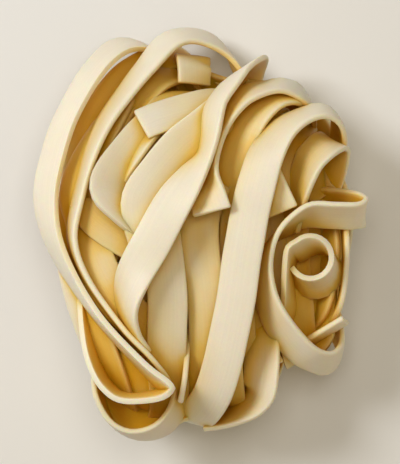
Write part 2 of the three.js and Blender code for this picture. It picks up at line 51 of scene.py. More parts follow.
ribbonSpec = {
    "width": 8.0,
    "thickness": 1.15,
    "edgeRound": 0.35,
    "edgeSegments": 2,
    "edgeAngle": 50,  # degrees, the least turn at an edge that is rounded
    "cup": 0.3,  # how far the middle of a ribbon stands over its edges
    "acrossCuts": 8,
    "streakShift": (3.7, 1.3),  # how far a ribbon's tint moves its streaks, along and across
}

# The forms that the ribbons are wound on: flattened barrels with rounded ends, lower at the right
# of the head. The core fills the smaller one, with the ribbons inside wound on it.
outerForm = {
    "height": 62.0,
    "left": 34.0,
    "right": 30.0,
    "depth": 23.0,
    "squareness": 2.3,
    "footSquareness": 2.6,
    "headSquareness": 1.7,
    "backFlatness": 0.7,  # 0 rounds the back off sideways like the front, 1 leaves it flat
}
innerForm = {
    "height": 52.0,
    "left": 29.0,
    "right": 25.0,
    "depth": 11.0,
    "squareness": 2.3,
    "footSquareness": 2.4,
    "headSquareness": 1.8,
    "backFlatness": 0.5,
}

# How a ribbon follows what lies under it.
laySpec = {
    "step": 1.2,
    "reach": 8,  # how many steps ahead and behind it feels a rise
    "slope": 0.25,  # steepest rise along it
    "tilt": 0.7,  # steepest slope from edge to edge
    "feelers": (0.75, 0.5, 0.25, 0.0),  # where it feels what is under it, in half widths
    "evening": 6,  # how many steps its height is evened out over
    "gap": 0.1,
    "heed": 0.25,  # how much of a lift or a raised edge the ribbons laid over it follow
    "marks": 17,  # places across it that are marked in the map of heights
    "cell": 1.2,  # of that map
    "margin": 2,  # cells of it beyond each end of the form
    "walkCuts": 60,  # straight pieces of a smooth curve between two stations
    "girthCuts": 720,  # straight pieces of a form's middle section
    "placeCuts": 60,  # turns that are tried to find a station
    "tip": 0.995,  # share of a form's half width at which its ends close
    "nearTurn": 0.002,  # how far off a form's slopes are measured, in turns
    "nearX": 0.3,  # and in x
    "square": 0.7,  # how far a loose ribbon's width is turned square to its run
    "leastDrop": 0.01,  # keeps that width from lying quite level
}


# Stations of a ribbon: on the front or the back at x, y, or over the head or the foot at x, with
# how far it stands off what is under it and how many degrees its left edge is raised.
def front(x, y, lift=0, roll=0):
    return x, y, 1, lift, roll


def back(x, y, lift=0, roll=0):
    return x, y, -1, lift, roll


def head(x, lift=0, roll=0):
    return x, 1, 0, lift, roll


def foot(x, lift=0, roll=0):
    return x, -1, 0, lift, roll


def spline(points):
    # an even walk along a smooth curve through the points, measured on their first three numbers
    knots = np.array(points, dtype=float)
    knots = np.vstack([2 * knots[0] - knots[1], knots, 2 * knots[-1] - knots[-2]])
    t = np.linspace(0, 1, laySpec["walkCuts"], endpoint=False)[:, None]
    walk = []
    for a, b, c, d in zip(knots, knots[1:], knots[2:], knots[3:]):
        walk.append(0.5 * (2 * b + (c - a) * t + (2 * a - 5 * b + 4 * c - d) * t ** 2
                           + (3 * b - a - 3 * c + d) * t ** 3))
    walk = np.vstack(walk + [knots[-2:-1]])
    strides = np.linalg.norm(np.diff(walk[:, :3], axis=0), axis=1)
    gone = np.concatenate([[0.0], np.cumsum(strides)])
    count = max(int(round(gone[-1] / laySpec["step"])), 2)
    at = np.linspace(0, gone[-1], count + 1)
    return np.stack([np.interp(at, gone, walk[:, k]) for k in range(walk.shape[1])], axis=1)


class Winding:
    # lays ribbons on a form, and keeps a map of the height of all laid ribbons over it. A place on
    # the form is a turn (0 at the head, 0.25 at the middle of the front, 0.5 at the foot) and x
    def __init__(self, form):
        self.form = form
        self.angles = np.linspace(0, 2 * math.pi, laySpec["girthCuts"] + 1)
        points = [self.section(angle) for angle in self.angles]
        strides = [math.dist(a, b) for a, b in zip(points, points[1:])]
        self.lengths = np.concatenate([[0.0], np.cumsum(strides)])
        self.girth = self.lengths[-1]
        self.rows = round(self.girth / laySpec["cell"])
        self.columns = round((form["left"] + form["right"]) / laySpec["cell"]) + 2 * laySpec["margin"]
        self.height = np.zeros((self.rows, self.columns))

    def section(self, angle):
        # y and z of the middle section
        n = self.form["squareness"]
        c, s = math.cos(angle), math.sin(angle)
        reach = abs(c / (self.form["height"] / 2)) ** n + abs(s / (self.form["depth"] / 2)) ** n
        size = reach ** (-1 / n)
        return c * size, s * size

    def taper(self, x, angle):
        # the share that is left of the height and depth of the section at x
        atFoot, atHead = self.form["footSquareness"], self.form["headSquareness"]
        headShare = (1 + math.cos(angle)) / 2 if x > 0 else 0
        n = atFoot + (atHead - atFoot) * headShare
        across = min(abs(x) / self.form["right" if x > 0 else "left"], laySpec["tip"])
        return (1 - across ** n) ** (1 / n)

    def point(self, turn, x):
        angle = np.interp((turn % 1) * self.girth, self.lengths, self.angles)
        taper = self.taper(x, angle)
        y, z = self.section(angle)
        y *= taper
        z *= taper if z > 0 else taper ** (1 - self.form["backFlatness"])
        return Vector((x, y, z))

    def place(self, station):
        # the turn at which a station lies, and its x, lift and roll
        x, y, side, lift, roll = station
        if side == 0:
            return (0.0 if y > 0 else 0.5), x, lift, roll
        turns = np.linspace(0.5, 0 if side > 0 else 1, laySpec["placeCuts"])
        return np.interp(y, [self.point(turn, x).y for turn in turns], turns), x, lift, roll

    def under(self, step, across):
        # the cell of the map under a place that far to the left of a step
        turn = step["turn"] + across * step["side"].dot(step["round"]) / step["speed"]
        x = step["x"] + across * step["side"].x
        row = int((turn % 1) * self.rows) % self.rows
        column = int(round((x + self.form["left"]) / laySpec["cell"])) + laySpec["margin"]
        return row, min(max(column, 0), self.columns - 1)

    def clearance(self, step):
        # how high both edges have to be for the ribbon to clear what is under it
        half = ribbonSpec["width"] / 2 * math.cos(step["roll"])
        left = self.height[self.under(step, half)]
        right = self.height[self.under(step, -half)]
        highest = max(left, right)
        for across in laySpec["feelers"]:
            for sign in (1, -1):
                share = (1 + sign * across) / 2
                below = self.height[self.under(step, sign * across * half)]
                short = below - (left * share + right * (1 - share))
                highest = max(highest, below)
                if short > 0 and sign > 0:
                    left += short / share
                elif short > 0:
                    right += short / (1 - share)
        return min(left, highest), min(right, highest)

    def settle(self, needs, i):
        # the heights of both edges at a step, no steeper than a ribbon bends
        left = right = 0.0
        for j in range(max(0, i - laySpec["reach"]), min(len(needs), i + laySpec["reach"] + 1)):
            drop = laySpec["slope"] * laySpec["step"] * abs(i - j)
            left = max(left, needs[j][0] - drop)
            right = max(right, needs[j][1] - drop)
        lean = laySpec["tilt"] * ribbonSpec["width"]
        return max(left, right - lean), max(right, left - lean)

    def mark(self, step):
        half = ribbonSpec["width"] / 2
        for across in np.linspace(-half, half, laySpec["marks"]):
            share = (1 + across / half) / 2
            top = step["left"] * share + step["right"] * (1 - share)
            bare = step["bareLeft"] * share + step["bareRight"] * (1 - share)
            top = bare + laySpec["heed"] * (top - bare)
            place = self.under(step, across * math.cos(step["roll"]))
            self.height[place] = max(self.height[place], top + ribbonSpec["thickness"] + laySpec["gap"])

    def steps(self, stations):
        knots = []
        last = None
        for station in stations:
            turn, x, lift, roll = self.place(station)
            last = turn if last is None else turn + round(last - turn)
            knots.append((last * self.girth, x, 0, lift, roll))
        nearTurn, nearX = laySpec["nearTurn"], laySpec["nearX"]
        steps = []
        for gone, x, _, lift, roll in spline(knots):
            turn = gone / self.girth
            winding = self.point(turn + nearTurn, x) - self.point(turn - nearTurn, x)
            sideways = self.point(turn, x + nearX) - self.point(turn, x - nearX)
            steps.append({
                "turn": turn, "x": x, "point": self.point(turn, x), "lift": lift,
                "roll": math.radians(roll), "round": winding.normalized(),
                "speed": winding.length / (2 * nearTurn),
                "out": winding.cross(sideways).normalized()})
        for i, step in enumerate(steps):
            along = steps[min(i + 1, len(steps) - 1)]["point"] - steps[max(i - 1, 0)]["point"]
            along -= step["out"] * along.dot(step["out"])
            step["along"] = along.normalized()
            step["side"] = step["out"].cross(step["along"])
        return steps

    def lay(self, stations):
        # the rails of a ribbon: its left edge, its right edge and the way out at each step
        steps = self.steps(stations)
        needs = []
        reach = laySpec["reach"]
        for i in range(len(steps) + reach):
            if i < len(steps):
                needs.append(self.clearance(steps[i]))
            if i >= reach:
                done = steps[i - reach]
                left, right = self.settle(needs, i - reach)
                rise = ribbonSpec["width"] * math.sin(done["roll"])
                done["bareLeft"], done["bareRight"] = left, right
                done["left"] = left + done["lift"] + max(rise, 0)
                done["right"] = right + done["lift"] + max(-rise, 0)
                self.mark(done)
        evening = laySpec["evening"]
        rails = []
        for i, step in enumerate(steps):
            near = [(evening - abs(k), steps[i + k]) for k in range(1 - evening, evening)
                    if 0 <= i + k < len(steps)]
            total = sum(weight for weight, _ in near)
            left = sum(weight * other["left"] for weight, other in near) / total
            right = sum(weight * other["right"] for weight, other in near) / total
            halfWidth = step["side"] * (ribbonSpec["width"] / 2 * math.cos(step["roll"]))
            leftEdge = step["point"] + halfWidth + step["out"] * left
            rightEdge = step["point"] - halfWidth + step["out"] * right
            out = step["along"].cross(leftEdge - rightEdge).normalized()
            rails.append((leftEdge, rightEdge, out))
        return rails


def looseRails(stations):
    # a ribbon free of the form: x, y, z of its near edge, and how far its far edge lies aside in x
    # and y, as a share of the width
    walk = spline(stations)
    rails = []
    for i, (x, y, z, leanX, leanY) in enumerate(walk):
        along = Vector(walk[min(i + 1, len(walk) - 1)][:3]) - Vector(walk[max(i - 1, 0)][:3])
        along.normalize()
        drop = math.sqrt(max(1 - leanX ** 2 - leanY ** 2, laySpec["leastDrop"]))
        down = Vector((leanX, leanY, -drop))
        down = (down - along * (laySpec["square"] * down.dot(along))).normalized()
        near = Vector((x, y, z))
        rails.append((near, near + down * ribbonSpec["width"], down.cross(along).normalized()))
    return rails


# The ribbons inside, which only show through the gaps.
innerSpec = {
    "count": 7,
    "stride": 3,  # places from one ribbon to the next one that is laid
    "from": -21.0,
    "to": 17.0,
    "sway": 7.0,
    "lift": 0.8,
    "roll": 12.0,
    "seed": 41,
}


def innerRoutes():
    seed = innerSpec["seed"]
    drawFactor, drawRange = 16807, 2147483647

    def draw():
        # from 0 to 1, the same in each run
        nonlocal seed
        seed = seed * drawFactor % drawRange
        return seed / drawRange

    routes = []
    for i in range(innerSpec["count"]):
        place = i * innerSpec["stride"] % innerSpec["count"] / (innerSpec["count"] - 1)
        x = innerSpec["from"] + (innerSpec["to"] - innerSpec["from"]) * place

        def loose(shift=0):
            return x + shift + innerSpec["sway"] * (draw() - 0.5)

        def lift():
            return innerSpec["lift"] * draw()

        def roll():
            return innerSpec["roll"] * (2 * draw() - 1)

        routes.append([
            back(loose(), 18 * draw()), head(loose(2), lift()), front(loose(), 8, lift(), roll()),
            front(loose(-2), -14, lift(), roll()), foot(loose(-2), lift()),
            back(loose(-3), -12, lift()), back(loose(), 4), back(loose(3), 16, lift()),
            head(loose(3), lift()), front(loose(2), 12, lift(), roll())])
    return routes


# The ribbons that show, from the lowest to the uppermost.
woundRoutes = {
    "backFarLeft": [head(-26), back(-28, 6), back(-26, -10), foot(-22)],
    "backFarRight": [head(24), back(25, 6), back(23, -8), back(19, -18)],
    "backRight": [head(14), back(17, 10), back(15, -8), back(10, -24), foot(6)],
    "backLeft": [back(-22, 14), back(-20, -6), back(-12, -24), foot(-14), front(-20, -20)],
    "backMiddle": [back(6, 24), back(0, 4), back(2, -18), foot(2), front(1, -22), front(3, -8)],
    "headLeft": [back(-18, 10), head(-12), front(-20, 22), front(-24, 12)],
    "footLeft": [front(-24, 0), front(-25.5, -10), front(-23, -19), front(-19, -26), foot(-14),
                 back(-12, -12)],
    "footInner": [front(-12, -6), front(-15, -14), front(-16, -22), foot(-15, 0.5), back(-14, -16)],
    "leftWall": [back(-16, 10), head(-18), front(-27, 16), front(-30, 4), front(-27, -10),
                 foot(-18), back(-14, -10)],
    "leftLow": [back(-12, 14), head(-18), front(-27.5, 14), front(-27, 6), front(-24.5, -1.5, 1.5),
                front(-21.5, -7.5, 2.5), front(-17.5, -12.5, 2), front(-12, -18)],
    "leftFoldUnder": [front(-25.6, 10), front(-24.5, 7, 0.3), front(-22, 4.6, 0.5),
                      front(-18.5, 2.2), front(-13, -1)],
    "leftFold": [head(-6), front(-11.5, 26), front(-16.2, 20.8), front(-20.2, 14.8, 0.5, -15),
                 front(-21, 10.8, 0.5, -32), front(-18, 7.2, 0, -40), front(-14.5, 5, -2, -25)],
    "bandMiddle": [front(-1, 14), front(-3.4, 8), front(-3.9, 3, 0.4), front(-3.5, -2, 0.4),
                   front(-2.6, -8, 0.2), front(-2, -17), front(-2.6, -25), foot(-4.2),
                   back(-6, -20), back(-11, 0)],
    "middleLeft": [front(-12.6, 8), front(-11.8, 3, 0.5), front(-10.8, -4, 1),
                   front(-10.3, -10, 1.2), front(-10.4, -16.5, 1), front(-10.5, -22, 0.6),
                   front(-10, -27), foot(-10.6), back(-17, -18), back(-24, 2)],
    "cutEnd": [front(-15, 23.2, 0.5, -20), front(-8.5, 26.2, 0, -10), front(-2.2, 28.8), head(6),
               back(12, 20)],
    "sweepLow": [back(2, 14), head(10), front(3, 28, 0.5), front(-3, 23.5, 1.5),
                 front(-7.5, 20, 1.5), front(-11.5, 15.5, 1.5), front(-15, 10.3, 1.5),
                 front(-15, 6, 1), front(-13.6, 1)],
    "sweepMain": [back(0, 8), back(3, 24, 0, 20), head(5.5, 1.5, 58), front(2.5, 29, 1.5, 52),
                  front(-0.3, 25.5, 0.5, 55), front(-1.2, 21, 0, 62), front(-2.3, 17.5, 0, 64),
                  front(-5.2, 13.5, 1, 42), front(-9, 8.2, 1.5, 15), front(-12.5, 2, 1.5, 5),
                  front(-15.8, -4.5, 1.5, 18), front(-17.1, -10.5, 0, 48),
                  front(-16.6, -15.5, -2, 52), front(-14.6, -19.5, -5, 50)],
}

# The ribbons that stand free of the rest, by the places of their near edge and how their width leans.
looseRoutes = {
    "mainFront": [(17, 4, -2, -0.5, 0.3), (22.5, 12, 0, -0.4, 0.25), (25.4, 19.5, 7, -0.3, 0.25),
                  (24.9, 24.3, 12, -0.15, 0.3), (22.2, 26.3, 14.5, -0.08, 0.3),
                  (18.8, 25.5, 16, -0.2, 0.36), (15.6, 22.7, 17, -0.45, 0.45),
                  (13.3, 18, 17.4, -0.78, 0.42), (11.7, 12.5, 17.2, -0.93, 0.26),
                  (10.4, 7.2, 17, -0.97, 0.14), (9.3, 1, 16.9, -0.98, 0.1),
                  (8.6, -3, 16.8, -0.98, 0.1), (7.6, -10.5, 16.4, -0.98, 0.12),
                  (6.2, -17.5, 15.8, -0.98, 0.12), (4.6, -24.8, 14.2, -0.97, 0.18),
                  (2.6, -31, 11, -0.94, 0.26), (-0.3, -35.6, 5, -0.9, 0.34),
                  (-2.6, -36, -2.5, -0.9, 0.3), (-2.6, -31.5, -8.5, -0.95, 0),
                  (0, -22, -12, -0.95, 0), (2, -8, -12.5, -0.95, 0)],
    "archOuter": [(16.5, 13, -1, -0.5, 0.3), (18.8, 20, -1, -0.35, 0.35),
                  (19.5, 26.8, 4, -0.2, 0.45), (17.6, 29.4, 8.5, -0.1, 0.45),
                  (15, 31.1, 10.5, 0, 0.34), (12.2, 31.7, 12, 0, 0.28),
                  (8.4, 30.5, 13.6, -0.1, 0.42), (5.6, 28.6, 14.6, -0.28, 0.4),
                  (2.7, 24.9, 15.6, -0.38, 0.24), (0.8, 20.2, 16.6, -0.3, 0.05),
                  (0.2, 16.2, 17.6, -0.35, -0.05), (1.4, 12.6, 18.1, -0.85, -0.1),
                  (2.6, 8.6, 18, -0.98, -0.16)],
    "tab": [(10, 21, 13.5, -0.85, -0.4), (12.3, 17.2, 14.6, -0.88, -0.38),
            (14.3, 13, 14.9, -0.9, -0.36), (16.2, 9, 14.6, -0.9, -0.36)],
    "bandUpper": [(15, 14, -2, -0.5, 0.3), (17.7, 21, -1.5, -0.35, 0.4), (18.8, 27, 3, -0.2, 0.48),
                  (16.6, 29.2, 8.5, -0.15, 0.5), (14.3, 29.2, 10.6, -0.25, 0.5),
                  (12.2, 27.9, 11.8, -0.42, 0.52), (9.7, 24.8, 12.6, -0.62, 0.5),
                  (8, 21, 13, -0.76, 0.42), (6.6, 16.5, 12.8, -0.85, 0.3),
                  (5, 11, 11.5, -0.9, 0.25), (3, 5, 9.5, -0.9, 0.25)],
    "leftOuter": [(-2, 31, -5, -0.2, -0.8), (-8, 37.2, -4, -0.4, -0.3),
                  (-16, 41.5, -2.5, -0.3, 0.3), (-22, 38, 4, -0.6, 0.1),
                  (-27.8, 28.4, 9.5, -0.62, 0), (-30.8, 20, 11.5, -0.62, 0),
                  (-32.6, 10.1, 12.5, -0.58, 0), (-30.9, 0.1, 14.5, -0.32, -0.12),
                  (-24.1, -12.2, 18, -0.12, -0.14), (-14.9, -22.1, 20, -0.12, -0.18),
                  (-9.6, -26.3, 20.4, -0.24, -0.24), (-8.8, -28.4, 20.2, -0.3, 0),
                  (-12, -30.6, 19.5, 0, 0.14), (-19.7, -31.1, 18, 0.1, 0.08),
                  (-24.1, -28.3, 17, 0.15, 0.06), (-26.8, -23.6, 15.5, 0.2, 0.06),
                  (-28.3, -17.7, 13.5, 0.25, 0.05), (-29, -9, 10, 0.25, 0), (-28, 0, 6, 0.2, 0)],
    "leftInner": [(8, 27, -5, 0.2, -0.8), (6, 34.5, -3, 0, -0.4), (1, 40.5, -2, -0.3, 0.5),
                  (-6.6, 42.5, 1.5, -0.45, 0.35), (-13, 36.3, 6.5, -0.4, 0.26),
                  (-17.8, 30.4, 9.5, -0.37, 0.2), (-21.6, 24.9, 12, -0.35, 0.16),
                  (-24.6, 18.4, 13.8, -0.34, 0.1), (-27, 10.1, 15, -0.32, 0),
                  (-28.4, 2, 16, -0.2, 0), (-25.6, -6, 17, -0.12, -0.1),
                  (-18.9, -15.4, 18.3, -0.05, -0.05), (-13.6, -21, 18.4, 0, 0),
                  (-10.6, -24.8, 16.5, 0, 0), (-9.4, -27, 12.5, 0, 0)],
    "leftBack": [(2, 33, -4, -0.6, 0.3), (-6, 38, -4, -0.7, 0.5), (-14.5, 34.5, -1, -0.8, 0.5),
                 (-19.5, 29, 2, -0.85, 0.4), (-23, 23, 4, -0.9, 0.3), (-25.8, 15, 5, -0.8, 0.1),
                 (-27, 6, 6, -0.6, 0), (-26, -3, 6, -0.5, 0)],
    "footRight": [(10.5, -6, 3, -0.8, 0.2), (12.2, -14, 6.5, -0.84, 0.14),
                  (12.8, -20, 9.2, -0.86, 0.1), (12.6, -26, 10.4, -0.86, 0.12),
                  (11.8, -30.8, 10, -0.76, 0.36), (9.2, -34.2, 8.4, -0.5, 0.5),
                  (5.6, -36.2, 6.3, -0.3, 0.5), (1.4, -37.5, 4.8, -0.12, 0.34),
                  (-3, -38.2, 3.5, 0, 0.2)],
    "leftShade": [(-6, 35, -1, -0.8, 0.4), (-10.5, 33, 3, -0.82, 0.4), (-14, 29, 5.5, -0.86, 0.36),
                  (-17.5, 23.5, 6.5, -0.88, 0.3), (-20, 17, 6.5, -0.9, 0.2),
                  (-21, 9, 5, -0.9, 0.1)],
    "sliver": [(-6.6, 27.4, 5, -0.3, 0.3), (-9.4, 25.4, 9.4, -0.3, 0.3),
               (-12.4, 22.2, 13.4, -0.3, 0.25), (-15.6, 17.8, 14.4, -0.3, 0.2),
               (-18.3, 13.2, 13.4, -0.3, 0.1), (-19, 9, 10, -0.3, 0)],
    "footLow": [(-20, -8, 3, 0.4, -0.2), (-24, -16, 8, 0.25, -0.2), (-24.9, -24, 11, 0.22, -0.2),
                (-24.6, -29.5, 12.5, 0.2, -0.18), (-22, -34.4, 12.5, 0.2, -0.2),
                (-18.4, -36.5, 12, 0.22, -0.22), (-14.5, -36, 11.5, 0.3, -0.25),
                (-11.8, -34, 11, 0.35, -0.25), (-10, -30.5, 10, 0.35, -0.2),
                (-9, -24, 8, 0.3, -0.2)],
    "footBack": [(-26, -18, 4, 0.8, 0.2), (-25.4, -27, 6, 0.75, 0.35), (-23.4, -33, 6.5, 0.6, 0.6),
                 (-19.5, -37, 6.5, 0.2, 0.85), (-13, -37.6, 5.5, -0.1, 0.85),
                 (-4, -34, 3, -0.1, 0.85), (4, -30, 0, -0.1, 0.85)],
    "footEdge": [(-5.6, -16, 10, 0.12, 0), (-5.9, -22, 13, 0.12, 0), (-6.4, -27, 14, 0.1, 0),
                 (-7.2, -31.4, 14, 0.05, 0)],
    "headPiece": [(-8.6, 34.4, 5, 0.8, 0), (-8.7, 38, 4, 0.8, 0), (-9.2, 40, 0, 0.7, -0.2),
                  (-9, 37, -4, 0.75, -0.3), (-8, 30, -7, 0.8, -0.3)],
    "headBack": [(24, 16, -4, -0.6, -0.3), (24.5, 24, -4, -0.4, -0.6), (20, 30, -3, -0.3, -0.7),
                 (11, 34.5, -3, -0.1, -0.65), (2, 35.5, -3, 0, -0.7), (-8, 38.5, -3, 0, -0.75),
                 (-16, 36.5, -4, 0, -0.75), (-22, 30, -5, 0.4, -0.6), (-24, 22, -6, 0.7, -0.3)],
    "rightArch": [(15.8, 3, 11, -0.5, 0.3), (17.2, 9.2, 14.3, -0.52, 0.35),
                  (18.8, 13.6, 16, -0.52, 0.42), (20.7, 17, 16.4, -0.46, 0.58),
                  (23.6, 19.6, 15.3, -0.26, 0.64), (26.2, 21, 12.5, -0.3, 0.4),
                  (27.4, 20.2, 9, -0.6, 0.1), (27, 16.5, 6, -0.8, -0.1),
                  (25.3, 11.5, 3, -0.85, -0.2), (21, 5, -1, -0.8, -0.3)],
    "wallOuter": [(20.5, 15.5, -2, -0.4, 0), (25.5, 12, 3, -0.1, 0), (27, 4, 8, 0, 0),
                  (26.9, -5, 9, 0, 0), (25.4, -13, 7, 0, 0), (21, -18.5, 0, -0.1, 0),
                  (14.5, -18.5, -1.5, -0.4, 0.3)],
    "wallInner": [(19.5, 14, -2, -0.5, 0), (23.8, 9, 2, -0.45, 0), (25.3, 2, 6.5, -0.5, 0),
                  (24.8, -7, 7, -0.5, 0), (22.3, -15, 4, -0.5, 0.1), (16, -21, -2, -0.4, 0.2)],
    "wallDeep": [(16, 12, -2, -0.5, 0), (21.5, 7, 1, -0.7, 0), (23, 0, 2.5, -0.75, 0),
                 (22, -9, 2.5, -0.75, 0), (18, -17, 0, -0.6, 0.2)],
    "bayLoop": [(18, 13.4, 3, -0.1, -0.5), (23, 13, 6, -0.1, -0.55), (28.5, 12.2, 8.5, -0.1, -0.6),
                (30.9, 10.6, 11.5, -0.1, -0.6), (29, 9, 14, -0.1, -0.62),
                (24, 8.9, 15.5, -0.1, -0.62), (19.2, 9, 16, -0.15, -0.62),
                (15.9, 7.1, 16.5, -0.2, -0.62), (13.2, 4.2, 16.5, -0.25, -0.6),
                (11.7, 0.4, 16, -0.28, -0.52), (11.3, -4.1, 15.5, -0.32, -0.45),
                (12.3, -9, 15, -0.36, -0.45), (14.4, -13, 14.5, -0.4, -0.5),
                (18, -17.6, 12.5, -0.38, -0.52), (21, -20.2, 10.5, -0.25, -0.5),
                (23.8, -20.6, 7.5, 0, -0.35), (25.3, -17.8, 2, 0, -0.1), (24.5, -12, -2, -0.5, 0),
                (20, -6, -3, -0.6, 0.2)],
    "bayFloor": [(24.6, 0, 3, -0.8, -0.2), (24.9, -7, 3.6, -0.8, -0.1),
                 (24.6, -13.5, 3.6, -0.8, 0.1), (23.8, -19.4, 3.6, -0.7, 0.5),
                 (19.4, -23.4, 3, -0.3, 0.8), (12, -22, 0, 0, 0.8)],
    "stub": [(13, -21, 6, 0.1, -0.2), (18.2, -17.8, 9, 0.1, -0.2), (25.2, -13.5, 10.5, 0.1, -0.2)],
    "bayEnd": [(9, -12, 5, 0.3, 0.3), (11, -18, 6, 0.2, 0.1), (13.6, -23.2, 6.5, 0, 0)],
}

# The curl in the hollow at the right: a lead that runs up into one loop.
curlSpec = {
    "lead": ((11.6, -16, 9), (12.6, -10.6, 12), (12.8, -4.1, 14), (13.4, 0.5, 14.5)),
    "x": 18.7,
    "y": -1.5,
    "z": 14.5,
    "radius": 4.9,
    "from": 130,  # degrees
    "to": -150,
    "turn": 20,  # degrees from one station to the next
    "sinkTurn": 180,  # degrees over which it sinks by a millimetre
    "lean": (0.2, -0.5),
}


def curlRoute():
    route = [(*place, *curlSpec["lean"]) for place in curlSpec["lead"]]
    for angle in range(curlSpec["from"], curlSpec["to"] - 1, -curlSpec["turn"]):
        x = curlSpec["x"] + curlSpec["radius"] * math.cos(math.radians(angle))
        y = curlSpec["y"] + curlSpec["radius"] * math.sin(math.radians(angle))
        z = curlSpec["z"] - (curlSpec["from"] - angle) / curlSpec["sinkTurn"]
        route.append((x, y, z, *curlSpec["lean"]))
    return route


looseRoutes["curl"] = curlRoute()


class Socket:
    # a shader socket that takes part in Python expressions, each adding its Math node
    def __init__(self, finish, link):
        self.finish = finish
        self.link = link

    def calculate(self, operation, *values):
        return self.finish.add("ShaderNodeMath", {"operation": operation}, dict(enumerate(values)))

    def __add__(self, other):
        return self.calculate("ADD", self, other)

    def __radd__(self, other):
        return self.calculate("ADD", other, self)

    def __sub__(self, other):
        return self.calculate("SUBTRACT", self, other)

    def __rsub__(self, other):
        return self.calculate("SUBTRACT", other, self)

    def __mul__(self, other):
        return self.calculate("MULTIPLY", self, other)

    def __rmul__(self, other):
        return self.calculate("MULTIPLY", other, self)


class Finish:
    # a material and its nodes
    def __init__(self, name):
        self.material = bpy.data.materials.new(name)
        self.material.use_nodes = True
        self.tree = self.material.node_tree
        self.surface = self.tree.nodes["Principled BSDF"]

    def add(self, kind, settings=None, values=None, output=0):
        node = self.tree.nodes.new(kind)
        for name, value in (settings or {}).items():
            if name == "stops":
                ramp = node.color_ramp
                while len(ramp.elements) < len(value):
                    ramp.elements.new(0.5)
                for element, (position, colour) in zip(ramp.elements, value):
                    element.position = position
                    element.color = (*colour, 1)
            else:
                setattr(node, name, value)
        self.put(node, values or {})
        return Socket(self, node.outputs[output])

    def put(self, node, values):
        for name, value in values.items():
            socket = node.inputs[name]
            if isinstance(value, Socket):
                self.tree.links.new(value.link, socket)
            elif isinstance(value, tuple) and len(value) == 3 and socket.type == "RGBA":
                socket.default_value = (*value, 1)
            else:
                socket.default_value = value

    def mix(self, factor, first, second):
        # of two colours, which have the node's sockets 6 and 7 and its output 2
        values = {0: factor, 6: first, 7: second}
        return self.add("ShaderNodeMix", {"data_type": "RGBA"}, values, output=2)

    def noise(self, place, scale, detail):
        return self.add("ShaderNodeTexNoise", {}, {"Vector": place, "Scale": scale, "Detail": detail})

    def measured(self, name):
        return self.add("ShaderNodeAttribute", {"attribute_name": name}, {}, output="Fac")


pastaLook = {
    # painted shade: from pale cream where a place is open to dark ochre where it is most closed in,
    # standing in for occlusion shadow and golden bounced light
    "stops": ((0.08, (0.92, 0.84, 0.69)), (0.32, (0.90, 0.76, 0.47)), (0.55, (0.84, 0.58, 0.13)),
              (0.85, (0.68, 0.37, 0.008))),
    # a paler rim, partly flour dust and partly a painted highlight where the thin edges catch light
    "edge": (0.94, 0.86, 0.66),
    "edgeFlourAndHighlightShare": 0.6,
    "streakScale": (18, 2600, 1),  # fine lines along a ribbon, from the die
    "mottleScale": 120.0,
    "grainScale": 2200.0,
    "bright": 0.94,
    "shade": {"streak": 0.1, "mottle": 0.1, "grain": 0.05, "tint": 0.04},
    "roughness": 0.5,
    "rough": {"streak": 0.25, "grain": 0.15},
    "relief": {"streak": 0.7, "grain": 0.3},
    "reliefHeight": 0.0002,
    "reliefStrength": 0.25,
    "scatter": 0.4,
    "scatterRadius": (1.0, 0.5, 0.12),
    "scatterScale": 0.002,
    "ior": 1.45,
}


def pastaFinish():
    finish = Finish("driedPasta")
    uv = finish.add("ShaderNodeUVMap", {"uv_map": "ribbon"})
    streakPlace = finish.add("ShaderNodeMapping", {}, {"Vector": uv, "Scale": pastaLook["streakScale"]})
    streak = finish.noise(streakPlace, 1.0, 3.0)
    place = finish.add("ShaderNodeTexCoord", {}, {}, output="Object")
    mottle = finish.noise(place, pastaLook["mottleScale"], 3.0)
    grain = finish.noise(place, pastaLook["grainScale"], 2.0)
    # painted shade: the depth attribute is the measured share of nearby ribbons over each place, and it
    # darkens the colour through the ramp
    depth = finish.measured("depth")
    tint = finish.measured("tint")
    rim = finish.measured("rim")
    ramp = finish.add("ShaderNodeValToRGB", {"stops": pastaLook["stops"]}, {"Fac": depth})
    # the painted highlight on the rims, with less of it where the painted shade is deep
    colour = finish.mix(rim * (1 - depth) * pastaLook["edgeFlourAndHighlightShare"], ramp, pastaLook["edge"])
    share = pastaLook["shade"]
    shade = (pastaLook["bright"] + share["streak"] * (streak - 0.5) + share["mottle"] * (mottle - 0.5)
             + share["grain"] * (grain - 0.5) + share["tint"] * tint)
    dimmed = finish.add("ShaderNodeHueSaturation", {}, {
        "Hue": 0.5, "Saturation": 1.0, "Value": shade, "Color": colour})
    rough = pastaLook["rough"]
    roughness = (pastaLook["roughness"] + rough["streak"] * (streak - 0.5)
                 + rough["grain"] * (grain - 0.5))
    relief = pastaLook["relief"]
    bump = finish.add("ShaderNodeBump", {}, {
        "Strength": pastaLook["reliefStrength"], "Distance": pastaLook["reliefHeight"],
        "Height": relief["streak"] * streak + relief["grain"] * grain})
    finish.put(finish.surface, {
        "Base Color": dimmed, "Roughness": roughness, "Normal": bump, "IOR": pastaLook["ior"],
        "Subsurface Weight": pastaLook["scatter"], "Subsurface Radius": pastaLook["scatterRadius"],
        "Subsurface Scale": pastaLook["scatterScale"]})
    return finish.material


